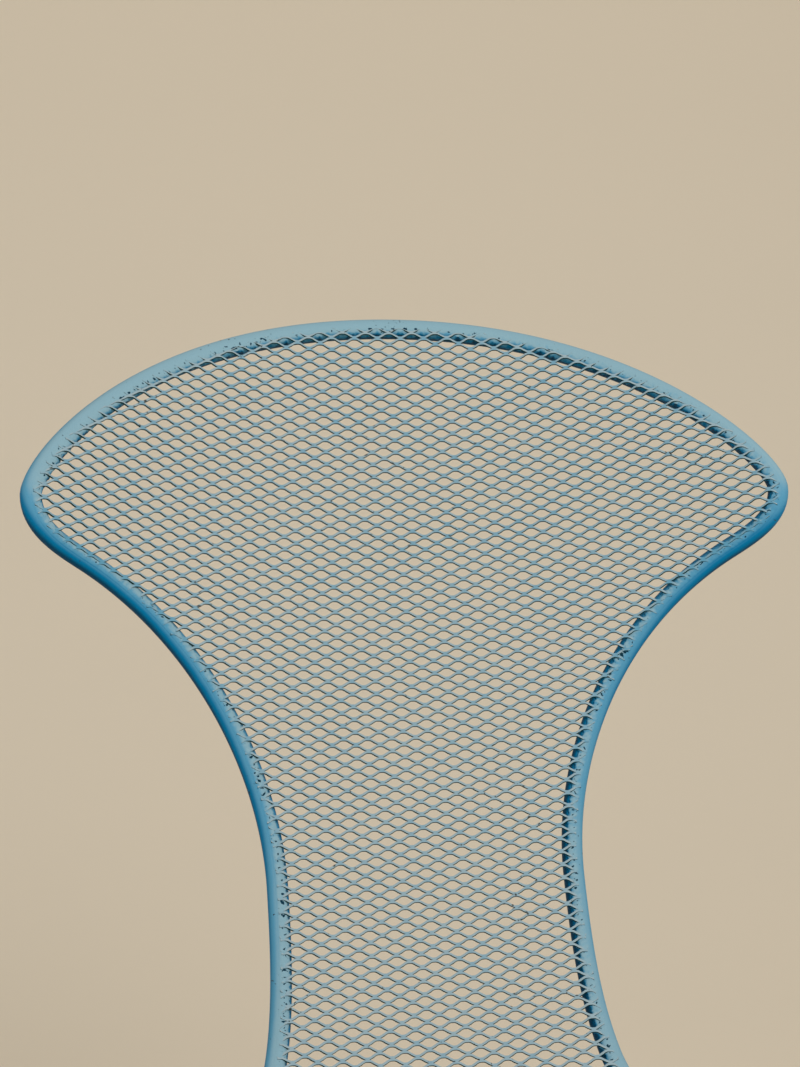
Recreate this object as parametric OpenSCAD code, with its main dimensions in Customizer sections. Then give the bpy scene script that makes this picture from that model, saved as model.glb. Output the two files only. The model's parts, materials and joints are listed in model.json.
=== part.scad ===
// Wing-backed garden chair: one bent rim tube, one pressed sheet of expanded
// metal lying on its front, and two bent leg frames welded under the seat.
// Millimetres. +Z up, the sitter faces -Y, the floor is z = 0.

/* [Shell outline, laid flat] */
// Height of the crown above the back's reference line
crown_v = 197; // [180:1:230]
// Half width at the wing tips
wing_half = 300; // [250:1:340]
// Height of the wing tips above the reference line
wing_v = 39; // [30:1:60]
// Half width where the wings turn under
underarm_half = 256; // [215:1:290]
// Drop of the underarm below the reference line
underarm_drop = 6; // [0:1:20]
// Half width at the waist
waist_half = 113; // [95:1:140]
// Drop of the waist below the reference line
waist_drop = 250; // [215:1:290]
// Half width at the hips, where the seat begins to flare
hip_half = 125; // [105:1:150]
// Drop of the hips below the reference line
hip_drop = 386; // [345:1:400]
// Half width of the seat along its straight sides
seat_half = 250; // [210:1:290]
// Length of the straight side of the seat
side_len = 160; // [140:1:200]

/* [Shell profile] */
// Lean of the back from vertical at the reference line, in degrees
recline = 23.2; // [15:0.1:27]
// Radius of the back's slow curve, top to bottom
back_r = 3260; // [2000:10:4000]
// Length down the profile from the reference line to the tight bend
back_len = 400; // [360:1:450]
// Radius of the bend between back and seat
bend_r = 130; // [110:1:160]
// Rise of the seat towards the front, in degrees
seat_rise = 7; // [3:0.5:10]
// Length of the flat part of the seat, front to back
seat_len = 270; // [240:1:330]
// Radius of the rolled front edge
roll_r = 90; // [75:1:120]
// Length down the profile of the rolled front edge
roll_len = 65; // [50:1:80]
// Radius of the dish, side to side
dish_r = 542; // [480:1:700]
// Height of the front of the seat above the floor
seat_height = 400; // [320:1:480]

/* [Tubes and sheet] */
// Diameter of the rim tube
rim_d = 16; // [12:0.5:20]
// Overall depth of the expanded metal sheet
sheet_t = 3; // [2:0.1:4]
// Diameter of the leg tube
leg_d = 19; // [16:0.5:25]
// Diameter of the cross rails under the seat
cross_d = 12; // [10:0.5:16]
// Wall of the leg and cross rail tubes
tube_wall = 1.5; // [1:0.1:2.5]
// Gap left between pieces that are welded together
weld_gap = 0.3; // [0.2:0.05:0.5]

/* [Leg frames] */
// Length of the straight top rail of a leg frame
rail_len = 200; // [170:1:230]
// Distance of the rail's middle behind the middle of the seat's straight side
rail_back = 30; // [0:1:45]
// Radius of the leg bends on the tube's centre line
leg_bend_r = 45; // [38:1:60]
// Forward rake of the front legs from square to the rail, in degrees
front_rake = 2; // [0:0.5:8]
// Backward rake of the rear legs from square to the rail, in degrees
rear_rake = 31; // [26:0.5:36]
// Outward splay of the leg frames, in degrees
splay = 5; // [2:0.5:9]
// Setback of the cross rails from the ends of the straight side
rail_setback = 18; // [14:1:40]

/* [Foot glides] */
// Wall of a glide around the tube
glide_wall = 2; // [1.5:0.1:3]
// Thickness of a glide under the tube
glide_floor = 4; // [3:0.1:6]
// Height of a glide
glide_h = 26; // [20:1:35]
// Clearance between a glide and its tube
glide_gap = 0.1; // [0.05:0.05:0.2]

/* [Hidden] */

$fn = 96;
rim_r = rim_d / 2;
leg_r = leg_d / 2;
cross_r = cross_d / 2;

// Depths of the tube centres behind the middle of the sheet.
sheet_back = sheet_t / 2 + weld_gap;
rim_drop = sheet_back + rim_r;
cross_drop = sheet_back + cross_r;
rail_drop = rim_drop + rim_r + weld_gap + leg_r;

// The profile is measured as a length down from the reference line.
slope_low = recline + turned(back_len, back_r);
seat_slope = 90 + seat_rise;
bend_end = back_len + bend_r * (seat_slope - slope_low) * PI / 180;
roll_start = bend_end + seat_len;
front_end = roll_start + roll_len;
low_point = arc_run(back_r, recline, slope_low);
bend_point = low_point + arc_run(bend_r, slope_low, seat_slope);
roll_point = bend_point + seat_len * [-sin(seat_slope), -cos(seat_slope)];

// Where the seat's straight side begins and ends down the profile.
side_start = bend_end + 0.18 * seat_len;
side_end = side_start + side_len;
side_mid = (side_start + side_end) / 2;

// The reference line's place puts the feet on z = 0 and the middle of the
// chair's depth on y = 0.
rear_y = profile(-crown_v)[0] + rim_drop * cos(slope(-crown_v)) + rim_r;
front_y = profile(front_end)[0] + rim_drop * cos(slope(front_end)) - rim_r;
ref_y = -(rear_y + front_y) / 2;
ref_z = seat_height - roll_point[1];

// Half of the flat outline, crown to front edge, as cubic curves.
// Each curve is [start, start handle, end handle, end] as [half width, height].
crown = [0, crown_v];
wing_tip = [wing_half, wing_v];
underarm = [underarm_half, -underarm_drop];
underarm_dir = [-cos(27), -sin(27)];
waist = [waist_half, -waist_drop];
hip = [hip_half, -hip_drop];
hip_dir = [sin(15), -cos(15)];
side_top = [seat_half, -side_start];
side_foot = [seat_half, -side_end];
front = [0, -front_end];
CURVES = [
    [crown, crown + [196, 0], wing_tip + [0, 25], wing_tip],
    [wing_tip, wing_tip - [0, 24], underarm - 22 * underarm_dir, underarm],
    [underarm, underarm + 103 * underarm_dir, waist + [0, 92], waist],
    [waist, waist - [0, 50], hip - 41 * hip_dir, hip],
    [hip, hip + 75 * hip_dir, side_top + [0, 85], side_top],
    [side_top, side_top - [0, 50], side_foot + [0, 50], side_foot],
    [side_foot, side_foot - [0, 80], front + [150, 0], front]
];
CURVE_STEPS = [20, 7, 15, 7, 18, 4, 18];

// A leg frame's plane, on the right: the rail's middle and three directions.
RAIL_MIDDLE = shell(seat_half, rail_back - side_mid, -rail_drop);
RAIL_BACK = [0, cos(seat_rise), -sin(seat_rise)];
FRAME_UP = [-sin(splay), cos(splay) * sin(seat_rise), cos(splay) * cos(seat_rise)];
FRAME_SIDE = cross(RAIL_BACK, FRAME_UP);
LEG_SIDES = 16;
BEND_STEPS = 8;

function turned(len, r) = len / r * 180 / PI;

function arc_run(r, from, to) = r * [cos(to) - cos(from), sin(from) - sin(to)];

// Lean of the profile from vertical, s down from the reference line.
function slope(s) =
    s < back_len ? recline + turned(s, back_r) :
    s < bend_end ? slope_low + turned(s - back_len, bend_r) :
    s < roll_start ? seat_slope :
    seat_slope - turned(s - roll_start, roll_r);

// [y, z] of the profile from the reference line.
function profile(s) =
    s < back_len ? arc_run(back_r, recline, slope(s)) :
    s < bend_end ? low_point + arc_run(bend_r, slope_low, slope(s)) :
    s < roll_start ? bend_point - (s - bend_end) * [sin(seat_slope), cos(seat_slope)] :
    roll_point + arc_run(-roll_r, seat_slope, slope(s));

// Direction from the sheet towards the sitter.
function toward(u, v) =
    let (a = turned(u, dish_r), p = slope(-v))
    [-sin(a), -cos(p) * cos(a), sin(p) * cos(a)];

// Point of the shell at flat place (u, v), lifted n towards the sitter.
function shell(u, v, n) =
    let (
        a = turned(u, dish_r),
        p = slope(-v),
        rise = dish_r * (1 - cos(a)),
        at = profile(-v)
    )
    [dish_r * sin(a), ref_y + at[0] - rise * cos(p), ref_z + at[1] + rise * sin(p)]
    + n * toward(u, v);

function cubic(c, t) =
    pow(1 - t, 3) * c[0] + 3 * pow(1 - t, 2) * t * c[1]
    + 3 * (1 - t) * t * t * c[2] + pow(t, 3) * c[3];

// Half outline, from the crown to just before the middle of the front edge.
HALF = [
    for (i = [0 : len(CURVES) - 1], k = [0 : CURVE_STEPS[i] - 1])
        cubic(CURVES[i], k / CURVE_STEPS[i])
];

// Closed outline: down the right half, back up the left half.
LOOP = concat(
    HALF, [front],
    [for (i = [len(HALF) - 1 : -1 : 1]) [-HALF[i][0], HALF[i][1]]]
);

// Quads of a closed band of points, cut into triangles.
function band(rows, cols, first, row_wraps, col_wraps, flip) = [
    for (i = [0 : rows - (row_wraps ? 1 : 2)], j = [0 : cols - (col_wraps ? 1 : 2)])
        let (
            i2 = (i + 1) % rows,
            j2 = (j + 1) % cols,
            a = first + i * cols + j,
            b = first + i * cols + j2,
            c = first + i2 * cols + j2,
            d = first + i2 * cols + j
        )
        each flip ? [[a, d, c], [a, c, b]] : [[a, b, c], [a, c, d]]
];

// Tube swept round the shell's outline, behind the sheet.
module swept_rim(r, sides) {
    n = len(LOOP);
    centres = [for (p = LOOP) shell(p[0], p[1], -rim_drop)];
    points = [
        for (i = [0 : n - 1])
            let (
                along = centres[(i + 1) % n] - centres[(i + n - 1) % n],
                up = toward(LOOP[i][0], LOOP[i][1]),
                side = cross(along, up) / norm(cross(along, up)),
                out = cross(side, along) / norm(along)
            )
            for (k = [0 : sides - 1])
                centres[i] + r * (cos(360 * k / sides) * out + sin(360 * k / sides) * side)
    ];
    polyhedron(points, band(n, sides, 0, true, true, true), convexity = 10);
}

module rim_tube() {
    color("lightsteelblue") swept_rim(rim_r, 12);
}

// Pressed sheet of expanded metal, as a thin closed sheet of its full depth.
module mesh_sheet() {
    cols = 25;
    rows = [for (p = HALF) if (p[0] > 20) p];
    n = len(rows);
    side_n = n * cols;
    points = [
        for (lift = [sheet_t / 2, -sheet_t / 2], p = rows, j = [0 : cols - 1])
            shell(p[0] * (2 * j / (cols - 1) - 1), p[1], lift)
    ];
    // Order of the points round the edge of one face.
    edge = concat(
        [for (j = [0 : cols - 1]) j],
        [for (i = [1 : n - 1]) i * cols + cols - 1],
        [for (j = [cols - 2 : -1 : 0]) (n - 1) * cols + j],
        [for (i = [n - 2 : -1 : 1]) i * cols]
    );
    m = len(edge);
    walls = [
        for (i = [0 : m - 1])
            let (a = edge[i], b = edge[(i + 1) % m])
            each [[a, side_n + a, side_n + b], [a, side_n + b, b]]
    ];
    color("lightblue")
        polyhedron(
            points,
            concat(
                band(n, cols, 0, false, false, false),
                band(n, cols, side_n, false, false, true),
                walls
            ),
            convexity = 10
        );
}

// Puts its children on the seat's cross-section at s down the profile:
// x stays sideways, y points to the sitter, and the dish's centre is at 0.
module at_dish(s) {
    centre = shell(0, -s, dish_r);
    translate(centre) rotate([180 - slope(s), 0, 0]) children();
}

module dish_arc(r) {
    reach = turned(seat_half, dish_r);
    rotate([0, 0, -90 - reach])
        rotate_extrude(angle = 2 * reach)
            translate([dish_r + cross_drop, 0]) circle(r);
}

// Bent rail under the sheet, coped to the rim tube at both ends.
module cross_rail(s) {
    reach = turned(seat_half, dish_r);
    cope_len = 2 * rim_d;
    at_dish(s) difference() {
        dish_arc(cross_r);
        dish_arc(cross_r - tube_wall);
        for (side = [-1, 1])
            rotate([0, 0, -90 + side * reach])
                translate([dish_r + rim_drop, 0, -cope_len / 2])
                    cylinder(r = rim_r + weld_gap, h = cope_len);
        for (side = [-1, 1])
            rotate([0, 0, -90 + side * reach])
                translate([dish_r + rim_drop - cope_len, side * cope_len / 2, 0])
                    cube([2 * cope_len, cope_len, cope_len], center = true);
    }
}

module front_cross_rail() {
    color("steelblue") cross_rail(side_end - rail_setback);
}

module rear_cross_rail() {
    color("steelblue") cross_rail(side_start + rail_setback);
}

// Puts its children in the plane of a leg frame: x points back along the
// rail, y points up, and the rail's middle is at 0.
module at_leg_frame(side) {
    mirror([side < 0 ? 1 : 0, 0, 0])
        translate(RAIL_MIDDLE)
            rotate([-seat_rise, 0, 0])
                rotate([0, -splay, 0])
                    rotate([90, 0, 90])
                        children();
}

// Straight leg, long enough to pass the floor. way is -1 in front, 1 behind.
module leg_stick(r, way, rake) {
    translate([way * rail_len / 2, -leg_bend_r])
        rotate([0, 0, way * rake])
            translate([way * leg_bend_r, 0])
                rotate([90, 0, 0])
                    cylinder(r = r, h = 1.5 * seat_height);
}

// Points of one leg's bend, from the rail down, each with its outward direction.
function leg_bend(way, rake) = [
    for (k = [0 : BEND_STEPS])
        let (
            a = 90 - (90 - rake) * k / BEND_STEPS,
            out = [way * cos(a), sin(a)]
        )
        [[way * rail_len / 2, -leg_bend_r] + leg_bend_r * out, out]
];

// Carries a point of the leg frame's plane, and w beside it, to its place.
function in_frame(p, w) = RAIL_MIDDLE + p[0] * RAIL_BACK + p[1] * FRAME_UP + w * FRAME_SIDE;

// Slides a point down its leg to the top of the glide's floor.
function down_leg(p, way, rake) =
    let (leg = way * sin(rake) * RAIL_BACK - cos(rake) * FRAME_UP)
    p + leg * (glide_floor - p[2]) / leg[2];

function ring(place, r) = [
    for (k = [0 : LEG_SIDES - 1])
        let (a = 360 * k / LEG_SIDES)
        in_frame(place[0] + r * cos(a) * place[1], r * sin(a))
];

// Rings of a leg frame, from the front foot over the rail to the rear foot.
function frame_rings(r) =
    let (
        front_bend = leg_bend(-1, front_rake),
        rear_bend = leg_bend(1, rear_rake)
    )
    concat(
        [[for (p = ring(front_bend[BEND_STEPS], r)) down_leg(p, -1, front_rake)]],
        [for (k = [BEND_STEPS : -1 : 0]) ring(front_bend[k], r)],
        [for (k = [0 : BEND_STEPS]) ring(rear_bend[k], r)],
        [[for (p = ring(rear_bend[BEND_STEPS], r)) down_leg(p, 1, rear_rake)]]
    );

// Bent tube with open feet: its outside, then back along its bore.
module leg_frame(side) {
    bore = frame_rings(leg_r - tube_wall);
    rings = concat(frame_rings(leg_r), [for (i = [len(bore) - 1 : -1 : 0]) bore[i]]);
    mirror([side < 0 ? 1 : 0, 0, 0])
        polyhedron(
            [for (one = rings) each one],
            band(len(rings), LEG_SIDES, 0, true, true, true),
            convexity = 10
        );
}

// Everything below height z.
module below(z) {
    reach = 4 * seat_height;
    translate([-reach / 2, -reach / 2, z - reach]) cube(reach);
}

module left_leg_frame() {
    color("steelblue") leg_frame(-1);
}

module right_leg_frame() {
    color("steelblue") leg_frame(1);
}

// Cap on the foot of a leg, flat on the floor.
module glide(side, way, rake) {
    difference() {
        at_leg_frame(side) leg_stick(leg_r + glide_wall, way, rake);
        difference() {
            at_leg_frame(side) leg_stick(leg_r + glide_gap, way, rake);
            below(glide_floor);
        }
        below(0);
        translate([0, 0, glide_h + 4 * seat_height]) below(0);
    }
}

module front_left_glide() {
    color("dimgray") glide(-1, -1, front_rake);
}

module front_right_glide() {
    color("dimgray") glide(1, -1, front_rake);
}

module rear_left_glide() {
    color("dimgray") glide(-1, 1, rear_rake);
}

module rear_right_glide() {
    color("dimgray") glide(1, 1, rear_rake);
}

mesh_sheet();
rim_tube();
front_cross_rail();
rear_cross_rail();
left_leg_frame();
right_leg_frame();
front_left_glide();
front_right_glide();
rear_left_glide();
rear_right_glide();
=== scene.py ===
# %% [markdown]
# # A wing-backed garden chair in painted expanded metal
# The chair is a loop of bent steel tube with one sheet of expanded metal
# lying on it. The construction model gives the sizes and the places. This
# lesson adds what the eye sees: several thousand diamond openings, strand
# ends drowned in paint along the rim, and old blue paint that has gone
# chalky where the sky reaches it, with painted light on its upper faces
# and painted shade on the faces that look down.

# %% Load the construction model
import json
import math

import bpy
import numpy as np
from mathutils import Matrix, Vector, noise
from mathutils.kdtree import KDTree

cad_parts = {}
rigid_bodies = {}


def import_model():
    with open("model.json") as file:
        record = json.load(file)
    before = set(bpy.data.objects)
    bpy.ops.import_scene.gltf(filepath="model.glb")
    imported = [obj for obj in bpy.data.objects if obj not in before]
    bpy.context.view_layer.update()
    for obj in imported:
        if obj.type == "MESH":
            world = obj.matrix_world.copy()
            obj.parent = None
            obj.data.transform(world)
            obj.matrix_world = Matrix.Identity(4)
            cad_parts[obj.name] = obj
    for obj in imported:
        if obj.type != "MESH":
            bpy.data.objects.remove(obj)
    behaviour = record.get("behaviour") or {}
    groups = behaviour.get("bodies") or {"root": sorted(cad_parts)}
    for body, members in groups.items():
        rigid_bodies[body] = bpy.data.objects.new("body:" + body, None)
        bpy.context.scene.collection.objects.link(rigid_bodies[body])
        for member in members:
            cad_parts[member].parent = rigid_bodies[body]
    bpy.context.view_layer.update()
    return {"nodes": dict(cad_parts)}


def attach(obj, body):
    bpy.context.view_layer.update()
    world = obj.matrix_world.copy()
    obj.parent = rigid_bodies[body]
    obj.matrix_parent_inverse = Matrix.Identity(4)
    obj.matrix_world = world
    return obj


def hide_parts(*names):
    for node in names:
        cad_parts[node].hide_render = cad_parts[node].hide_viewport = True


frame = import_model()
print("nodes:", sorted(frame["nodes"]))

# %% [markdown]
# ## Sizes
# A pressed sheet is easiest to think of laid flat, so every place on the
# shell is a pair: u across and v up, both measured along the metal. The
# numbers below are the same driving sizes as the construction model's.

# %% Driving sizes, in metres and radians
MM = 0.001
CROWN_V = 197 * MM
RECLINE = math.radians(23.2)
BACK_R = 3260 * MM
BACK_LEN = 400 * MM
BEND_R = 130 * MM
SEAT_LEAN = math.radians(90 + 7)
SEAT_LEN = 270 * MM
ROLL_R = 90 * MM
ROLL_LEN = 65 * MM
DISH_R = 542 * MM
SEAT_HEIGHT = 400 * MM
RIM_R = 8 * MM
SHEET_T = 3 * MM
WELD_GAP = 0.3 * MM
RIM_DROP = SHEET_T / 2 + WELD_GAP + RIM_R

LEAN_LOW = RECLINE + BACK_LEN / BACK_R
BEND_END = BACK_LEN + BEND_R * (SEAT_LEAN - LEAN_LOW)
ROLL_START = BEND_END + SEAT_LEN
FRONT_END = ROLL_START + ROLL_LEN
print("length of the centre line:", round(CROWN_V + FRONT_END, 3), "m")

# %% [markdown]
# ## From flat to formed
# Real expanded metal is slit and stretched flat, and only then pressed to
# shape. The model goes the same way. `shell` takes a flat place and a lift
# off the sheet, and gives the place on the formed shell. The centre line is
# a slow arc, a tight bend, a straight seat and a rolled front edge, and
# every cross-section is an arc of one radius.

# %% The shell's formula


def lean(s):
    """Angle of the profile from vertical, s metres down from the reference line."""
    on_seat = np.where(s < ROLL_START, SEAT_LEAN, SEAT_LEAN - (s - ROLL_START) / ROLL_R)
    below_back = np.where(s < BEND_END, LEAN_LOW + (s - BACK_LEN) / BEND_R, on_seat)
    return np.where(s < BACK_LEN, RECLINE + s / BACK_R, below_back)


def arc_run(radius, start, end):
    return radius * np.array([np.cos(end) - np.cos(start), np.sin(start) - np.sin(end)])


def profile(s):
    """Run forward and down of the centre line, as two arrays."""
    low = arc_run(BACK_R, RECLINE, LEAN_LOW)[:, None]
    bend = low + arc_run(BEND_R, LEAN_LOW, SEAT_LEAN)[:, None]
    seat_way = -np.array([math.sin(SEAT_LEAN), math.cos(SEAT_LEAN)])[:, None]
    roll = bend + SEAT_LEN * seat_way
    s = np.atleast_1d(s)
    angle = lean(s)
    on_seat = np.where(
        s < ROLL_START,
        bend + (s - BEND_END) * seat_way,
        roll + arc_run(-ROLL_R, SEAT_LEAN, angle),
    )
    below_back = np.where(s < BEND_END, low + arc_run(BEND_R, LEAN_LOW, angle), on_seat)
    return np.where(s < BACK_LEN, arc_run(BACK_R, RECLINE, angle), below_back)


def rim_edge_y(s, outward):
    return profile(s)[0][0] + RIM_DROP * math.cos(lean(s)) + outward * RIM_R


REF_Y = -(rim_edge_y(-CROWN_V, 1) + rim_edge_y(FRONT_END, -1)) / 2
REF_Z = SEAT_HEIGHT - profile(ROLL_START)[1][0]


def toward(u, v):
    """Direction from the sheet to the sitter."""
    turn = u / DISH_R
    angle = lean(-v)
    return np.stack(
        [-np.sin(turn), -np.cos(angle) * np.cos(turn), np.sin(angle) * np.cos(turn)], axis=1
    )


def shell(u, v, lift):
    """Places on the formed shell for arrays of flat places."""
    turn = u / DISH_R
    angle = lean(-v)
    rise = DISH_R * (1 - np.cos(turn))
    along, up = profile(-v)
    place = np.stack(
        [
            DISH_R * np.sin(turn),
            REF_Y + along - rise * np.cos(angle),
            REF_Z + up + rise * np.sin(angle),
        ],
        axis=1,
    )
    return place + np.asarray(lift).reshape(-1, 1) * toward(u, v)


print("reference line at y, z:", round(REF_Y, 4), round(REF_Z, 4))

# %% [markdown]
# ## The camera
# It stands a little to the left, on the side of low x, and just above the
# crown, and looks slightly down. It is set first, so that every later step
# can be judged through it.

# %% Camera
CAMERA_FROM_REF = np.array([-0.3410, -1.6158, 0.2589])
CAMERA_RIGHT = (0.97908, -0.20295, 0.01480)
CAMERA_UP = (0.01425, 0.14091, 0.98992)
CAMERA_FORWARD = (0.20298, 0.96900, -0.14086)
LENS_MM = 71.58

bpy.ops.object.camera_add()
camera = bpy.context.object
camera.name = "camera"
camera.data.sensor_fit = "VERTICAL"
camera.data.sensor_height = 36
camera.data.lens = LENS_MM
eye = CAMERA_FROM_REF + np.array([0, REF_Y, REF_Z])
camera_back = [-c for c in CAMERA_FORWARD]
axes = zip(CAMERA_RIGHT, CAMERA_UP, camera_back, eye)
camera.matrix_world = Matrix([*axes, (0, 0, 0, 1)])
bpy.context.scene.camera = camera
print("camera at", [round(float(c), 3) for c in eye])

# %% [markdown]
# ## Small helpers
# An operator works on whatever is selected, so each step starts from
# nothing selected. Faces are picked by their place, with a test on their
# middles.

# %% Selection helpers
ROUND_SMOOTH = math.radians(50)
SEAM = 0.001 * MM


def select_none():
    if bpy.context.mode != "OBJECT":
        bpy.ops.object.mode_set(mode="OBJECT")
    bpy.ops.object.select_all(action="DESELECT")


def select_only(*objects):
    select_none()
    for one in objects:
        one.select_set(True)
    bpy.context.view_layer.objects.active = objects[0]


def face_middles(mesh):
    values = np.empty(len(mesh.polygons) * 3)
    mesh.polygons.foreach_get("center", values)
    return values.reshape(-1, 3)


def vertex_places(mesh):
    values = np.empty(len(mesh.vertices) * 3)
    mesh.vertices.foreach_get("co", values)
    return values.reshape(-1, 3)


def place_vertices(mesh, places):
    mesh.vertices.foreach_set("co", np.ascontiguousarray(places).ravel())
    mesh.update()


def pick_faces(obj, mask):
    """Select only the masked faces, and leave obj in edit mode."""
    select_only(obj)
    bpy.ops.object.mode_set(mode="EDIT")
    bpy.ops.mesh.select_mode(type="FACE")
    bpy.ops.mesh.select_all(action="DESELECT")
    bpy.ops.object.mode_set(mode="OBJECT")
    obj.data.polygons.foreach_set("select", np.asarray(mask, dtype=bool))
    bpy.ops.object.mode_set(mode="EDIT")


def apply_modifiers(obj):
    select_only(obj)
    for modifier in list(obj.modifiers):
        bpy.ops.object.modifier_apply(modifier=modifier.name)


def ring_skin(name, rings, closed):
    """Skin a grid over rings of points; closed joins the last ring to the first."""
    rings = np.concatenate([rings, rings[:, :1]], axis=1)
    if closed:
        rings = np.concatenate([rings, rings[:1]], axis=0)
    rows, columns = rings.shape[:2]
    select_none()
    bpy.ops.mesh.primitive_grid_add(
        x_subdivisions=columns - 1, y_subdivisions=rows - 1, size=1
    )
    obj = bpy.context.object
    obj.name = obj.data.name = name
    place_vertices(obj.data, rings.reshape(-1, 3))
    bpy.ops.object.mode_set(mode="EDIT")
    bpy.ops.mesh.select_all(action="SELECT")
    bpy.ops.mesh.remove_doubles(threshold=SEAM)
    bpy.ops.mesh.fill_holes(sides=0)
    bpy.ops.mesh.select_all(action="SELECT")
    bpy.ops.mesh.normals_make_consistent(inside=False)
    bpy.ops.object.mode_set(mode="OBJECT")
    bpy.ops.object.shade_smooth_by_angle(angle=ROUND_SMOOTH)
    return obj


def triangles(obj):
    return sum(len(p.vertices) - 2 for p in obj.data.polygons)


# %% [markdown]
# ## The outline
# Half of the flat outline is a few cubic curves from the crown, round the
# wing tip, in to the waist, out to the seat and round to the front. It is
# the centre line of the rim tube and the edge of the sheet.

# %% Outline curves, in mm
SEAT_HALF = 250
SIDE_RUN = 160
SIDE_FROM = 0.18  # share of the straight seat behind its straight sides
crown = np.array([0, 197])
wing_tip = np.array([300, 39])
underarm = np.array([256, -6])
underarm_way = np.array([-math.cos(math.radians(27)), -math.sin(math.radians(27))])
waist = np.array([113, -250])
hip = np.array([125, -386])
hip_way = np.array([math.sin(math.radians(15)), -math.cos(math.radians(15))])
side_start = BEND_END / MM + SIDE_FROM * SEAT_LEN / MM
side_top = np.array([SEAT_HALF, -side_start])
side_foot = np.array([SEAT_HALF, -side_start - SIDE_RUN])
front_edge = np.array([0, -FRONT_END / MM])
OUTLINE = [
    (crown, crown + (196, 0), wing_tip + (0, 25), wing_tip),
    (wing_tip, wing_tip - (0, 24), underarm - 22 * underarm_way, underarm),
    (underarm, underarm + 103 * underarm_way, waist + (0, 92), waist),
    (waist, waist - (0, 50), hip - 41 * hip_way, hip),
    (hip, hip + 75 * hip_way, side_top + (0, 85), side_top),
    (side_top, side_top - (0, 50), side_foot + (0, 50), side_foot),
    (side_foot, side_foot - (0, 80), front_edge + (150, 0), front_edge),
]


def half_outline(step):
    """Places along the right half, about step metres apart, in metres."""
    fine = []
    for a, b, c, d in OUTLINE:
        t = np.linspace(0, 1, 200, endpoint=False)[:, None]
        near_start = (1 - t) ** 3 * a + 3 * (1 - t) ** 2 * t * b
        fine.append(near_start + 3 * (1 - t) * t**2 * c + t**3 * d)
    fine.append(front_edge[None, :])
    fine = np.concatenate(fine) * MM
    steps = np.linalg.norm(np.diff(fine, axis=0), axis=1)
    length = np.concatenate([[0], np.cumsum(steps)])
    marks = np.linspace(0, length[-1], int(round(length[-1] / step)) + 1)
    return np.stack([np.interp(marks, length, fine[:, k]) for k in (0, 1)], axis=1)


def whole_outline(step):
    half = half_outline(step)
    mirrored = half[-2:0:-1] * (-1, 1)
    return np.concatenate([half, mirrored])


fine_half = half_outline(1 * MM)
fine_loop = whole_outline(1 * MM)
print("rim length laid flat:", round(len(fine_loop) * MM, 3), "m")


def half_width(v):
    """Half of the sheet's width at each v, and less than nothing off its ends."""
    width = np.interp(v, fine_half[::-1, 1], fine_half[::-1, 0])
    return np.where((v > fine_half[0, 1]) | (v < fine_half[-1, 1]), -1, width)


# %% [markdown]
# ## One cell of the sheet
# Expanded metal is slit in staggered rows and pulled open. What is left
# between two slits' ends is a bond, and from each bond four strands leave
# in an X. The metal turns as it is pulled, so bonds and strands lie at a
# slant like the slats of a blind, and that slant shows the downward face
# that makes the dark line over each opening; the paint darkens that face
# further as painted shade. One bond with its four half strands is modelled
# here, and copies of it make the whole sheet. It has only a few dozen
# faces, because there will be thousands of it.

# %% Cell sizes
LONG_WAY = 19 * MM
SHORT_WAY = 10 * MM
STRAND_W = 1.75 * MM
METAL_T = 1.4 * MM
BOND_LEN = 2.4 * MM
BOND_SLANT = math.radians(16)
STRAND_SLANT = math.radians(27)
WIDEN = 0.22

# %% Bond: a small block, split into an upper and a lower half
select_none()
bpy.ops.mesh.primitive_grid_add(x_subdivisions=2, y_subdivisions=2, size=1)
cell = bpy.context.object
cell.name = "mesh_cell"
bpy.ops.object.mode_set(mode="EDIT")
bpy.ops.transform.resize(value=(BOND_LEN, 2 * STRAND_W, 1))
bpy.ops.mesh.extrude_region_move(TRANSFORM_OT_translate={"value": (0, 0, -METAL_T)})
bpy.ops.mesh.select_all(action="SELECT")
bpy.ops.transform.translate(value=(0, 0, METAL_T / 2))
bpy.ops.mesh.normals_make_consistent(inside=False)
bpy.ops.object.mode_set(mode="OBJECT")
print("bond faces:", len(cell.data.polygons))

# %% Four half strands, drawn out of the bond's ends
# The lower strands leave in an arch and the upper ones run nearly straight,
# which gives each opening its round top and pointed foot. A bend is a share
# of the reach along, and a share of the climb.
REACH = LONG_WAY / 4 - BOND_LEN / 2
CLIMB = SHORT_WAY / 4
FACE_WITHIN = 0.2 * MM
BENDS = {"upper": ((0.4, 0.35), (1, 1)), "lower": ((0.27, 0.11), (0.62, 0.45), (1, 1))}


def draw_strand(side, half):
    """side is -1 or 1 along the long way, half is upper or lower."""
    up = 1 if half == "upper" else -1
    start = np.array([side * BOND_LEN / 2, up * STRAND_W / 2, 0])
    middles = face_middles(cell.data)
    pick_faces(cell, np.abs(middles - start).max(axis=1) < FACE_WITHIN)
    here = start
    for along, rise in BENDS[half]:
        there = start + (side * REACH * along, up * (CLIMB - STRAND_W / 2) * rise, 0)
        way = tuple(there - here)
        bpy.ops.mesh.extrude_region_move(TRANSFORM_OT_translate={"value": way})
        here = there
    bpy.ops.mesh.delete(type="FACE")
    bpy.ops.object.mode_set(mode="OBJECT")


for side in (-1, 1):
    for half in ("upper", "lower"):
        draw_strand(side, half)
print("cell faces:", len(cell.data.polygons))

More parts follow.
